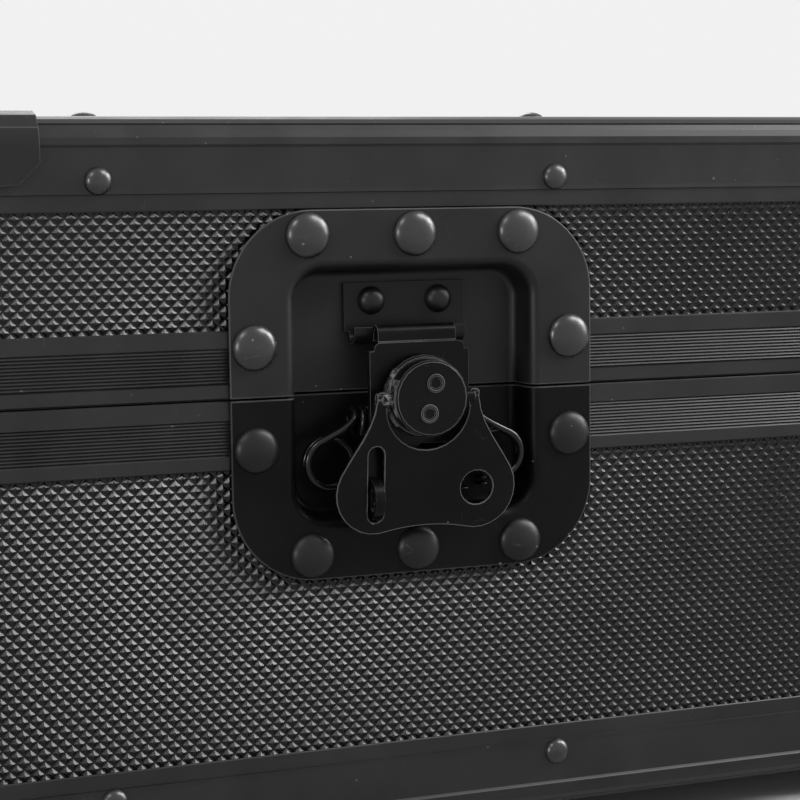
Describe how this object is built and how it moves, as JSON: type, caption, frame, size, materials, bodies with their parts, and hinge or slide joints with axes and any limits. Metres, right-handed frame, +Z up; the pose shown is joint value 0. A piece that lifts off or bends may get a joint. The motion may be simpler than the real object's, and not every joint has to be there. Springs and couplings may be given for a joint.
{
  "type": "flight case",
  "caption": "Low black flight case with a rear-hinged lid, recessed butterfly twist latches, ball corners, recessed side handles, rubber feet and a foam-lined inside.",
  "frame": {"origin": "on the floor, at the middle of the case's overall box", "axes": "+Z up, front with the latches towards -Y, +X to the case's own right seen from the front"},
  "size_m": [0.558, 0.459, 0.2297],
  "materials": {
    "pyramid_laminate": "black laminate sheet embossed with small pyramids",
    "black_anodised": "black anodised extrusion, satin",
    "black_powder_coat": "black powder-coated pressed steel, satin",
    "black_wire": "black finished spring wire",
    "black_rubber": "matt black rubber",
    "grey_foam": "charcoal soft foam"
  },
  "bodies": {
    "base": {"base_bottom_panel": "pyramid_laminate", "base_front_panel": "pyramid_laminate", "base_rear_panel": "pyramid_laminate", "base_left_panel": "pyramid_laminate", "base_right_panel": "pyramid_laminate", "base_edge_frame": "black_anodised", "base_location_extrusion": "black_anodised", "base_corner_front_left": "black_powder_coat", "base_corner_front_right": "black_powder_coat", "base_corner_rear_left": "black_powder_coat", "base_corner_rear_right": "black_powder_coat", "foot_front_left": "black_rubber", "foot_front_right": "black_rubber", "foot_rear_left": "black_rubber", "foot_rear_right": "black_rubber", "base_foam": "grey_foam", "left_dish_lower": "black_powder_coat", "left_latch_bracket": "black_powder_coat", "left_spring_inner": "black_wire", "left_spring_outer": "black_wire", "left_handle_dish": "black_powder_coat", "left_hinge_base_leaf": "black_powder_coat", "right_dish_lower": "black_powder_coat", "right_latch_bracket": "black_powder_coat", "right_spring_inner": "black_wire", "right_spring_outer": "black_wire", "right_handle_dish": "black_powder_coat", "right_hinge_base_leaf": "black_powder_coat"},
    "lid": {"lid_top_panel": "pyramid_laminate", "lid_front_panel": "pyramid_laminate", "lid_rear_panel": "pyramid_laminate", "lid_left_panel": "pyramid_laminate", "lid_right_panel": "pyramid_laminate", "lid_edge_frame": "black_anodised", "lid_location_extrusion": "black_anodised", "lid_corner_front_left": "black_powder_coat", "lid_corner_front_right": "black_powder_coat", "lid_corner_rear_left": "black_powder_coat", "lid_corner_rear_right": "black_powder_coat", "lid_foam": "grey_foam", "left_dish_upper": "black_powder_coat", "left_keeper": "black_powder_coat", "left_hinge_lid_leaf": "black_powder_coat", "right_dish_upper": "black_powder_coat", "right_keeper": "black_powder_coat", "right_hinge_lid_leaf": "black_powder_coat"},
    "left_latch_swing": {"left_swing_link": "black_powder_coat"},
    "left_latch_hook": {"left_hook_plate": "black_powder_coat"},
    "left_latch_cam": {"left_cam": "black_powder_coat", "left_lock_plate": "black_powder_coat"},
    "left_latch_wing": {"left_wing": "black_powder_coat"},
    "left_bail": {"left_handle_bail": "black_powder_coat", "left_handle_grip": "black_rubber"},
    "right_latch_swing": {"right_swing_link": "black_powder_coat"},
    "right_latch_hook": {"right_hook_plate": "black_powder_coat"},
    "right_latch_cam": {"right_cam": "black_powder_coat", "right_lock_plate": "black_powder_coat"},
    "right_latch_wing": {"right_wing": "black_powder_coat"},
    "right_bail": {"right_handle_bail": "black_powder_coat", "right_handle_grip": "black_rubber"}
  },
  "joints": [
    {"name": "lid_hinge", "type": "hinge", "parent": "base", "child": "lid", "pos_m": [0, 0.22227, 0.142], "axis": [-1, 0, 0], "range_deg": [0, 100]},
    {"name": "left_hook_swing", "type": "hinge", "parent": "base", "child": "left_latch_swing", "pos_m": [-0.115, -0.21093, 0.1333], "axis": [1, 0, 0], "range_deg": [0, 6], "stiffness_Nm_per_rad": 0.05},
    {"name": "left_cam_twist", "type": "hinge", "parent": "left_latch_swing", "child": "left_latch_cam", "pos_m": [-0.115, -0.21903, 0.1412], "axis": [0, 1, 0], "range_deg": [0, 180]},
    {"name": "left_hook_slide", "type": "slide", "parent": "left_latch_swing", "child": "left_latch_hook", "axis": [0, 0, 1], "range_m": [0, 0.0062]},
    {"name": "left_wing_fold", "type": "hinge", "parent": "left_latch_cam", "child": "left_latch_wing", "pos_m": [-0.115, -0.22553, 0.1412], "axis": [-1, 0, 0], "range_deg": [0, 90]},
    {"name": "left_bail_swing", "type": "hinge", "parent": "base", "child": "left_bail", "pos_m": [-0.2655, 0.00187, 0.097], "axis": [0, 1, 0], "range_deg": [0, 90]},
    {"name": "right_hook_swing", "type": "hinge", "parent": "base", "child": "right_latch_swing", "pos_m": [0.115, -0.21093, 0.1333], "axis": [1, 0, 0], "range_deg": [0, 6], "stiffness_Nm_per_rad": 0.05},
    {"name": "right_cam_twist", "type": "hinge", "parent": "right_latch_swing", "child": "right_latch_cam", "pos_m": [0.115, -0.21903, 0.1412], "axis": [0, 1, 0], "range_deg": [0, 180]},
    {"name": "right_hook_slide", "type": "slide", "parent": "right_latch_swing", "child": "right_latch_hook", "axis": [0, 0, 1], "range_m": [0, 0.0062]},
    {"name": "right_wing_fold", "type": "hinge", "parent": "right_latch_cam", "child": "right_latch_wing", "pos_m": [0.115, -0.22553, 0.1412], "axis": [-1, 0, 0], "range_deg": [0, 90]},
    {"name": "right_bail_swing", "type": "hinge", "parent": "base", "child": "right_bail", "pos_m": [0.2655, 0.00187, 0.097], "axis": [0, -1, 0], "range_deg": [0, 90]}
  ],
  "couplings": [
    {"joint": "left_hook_slide", "follows": "left_cam_twist", "m_per_rad": 0.0019099},
    {"joint": "right_hook_slide", "follows": "right_cam_twist", "m_per_rad": 0.0019099}
  ]
}
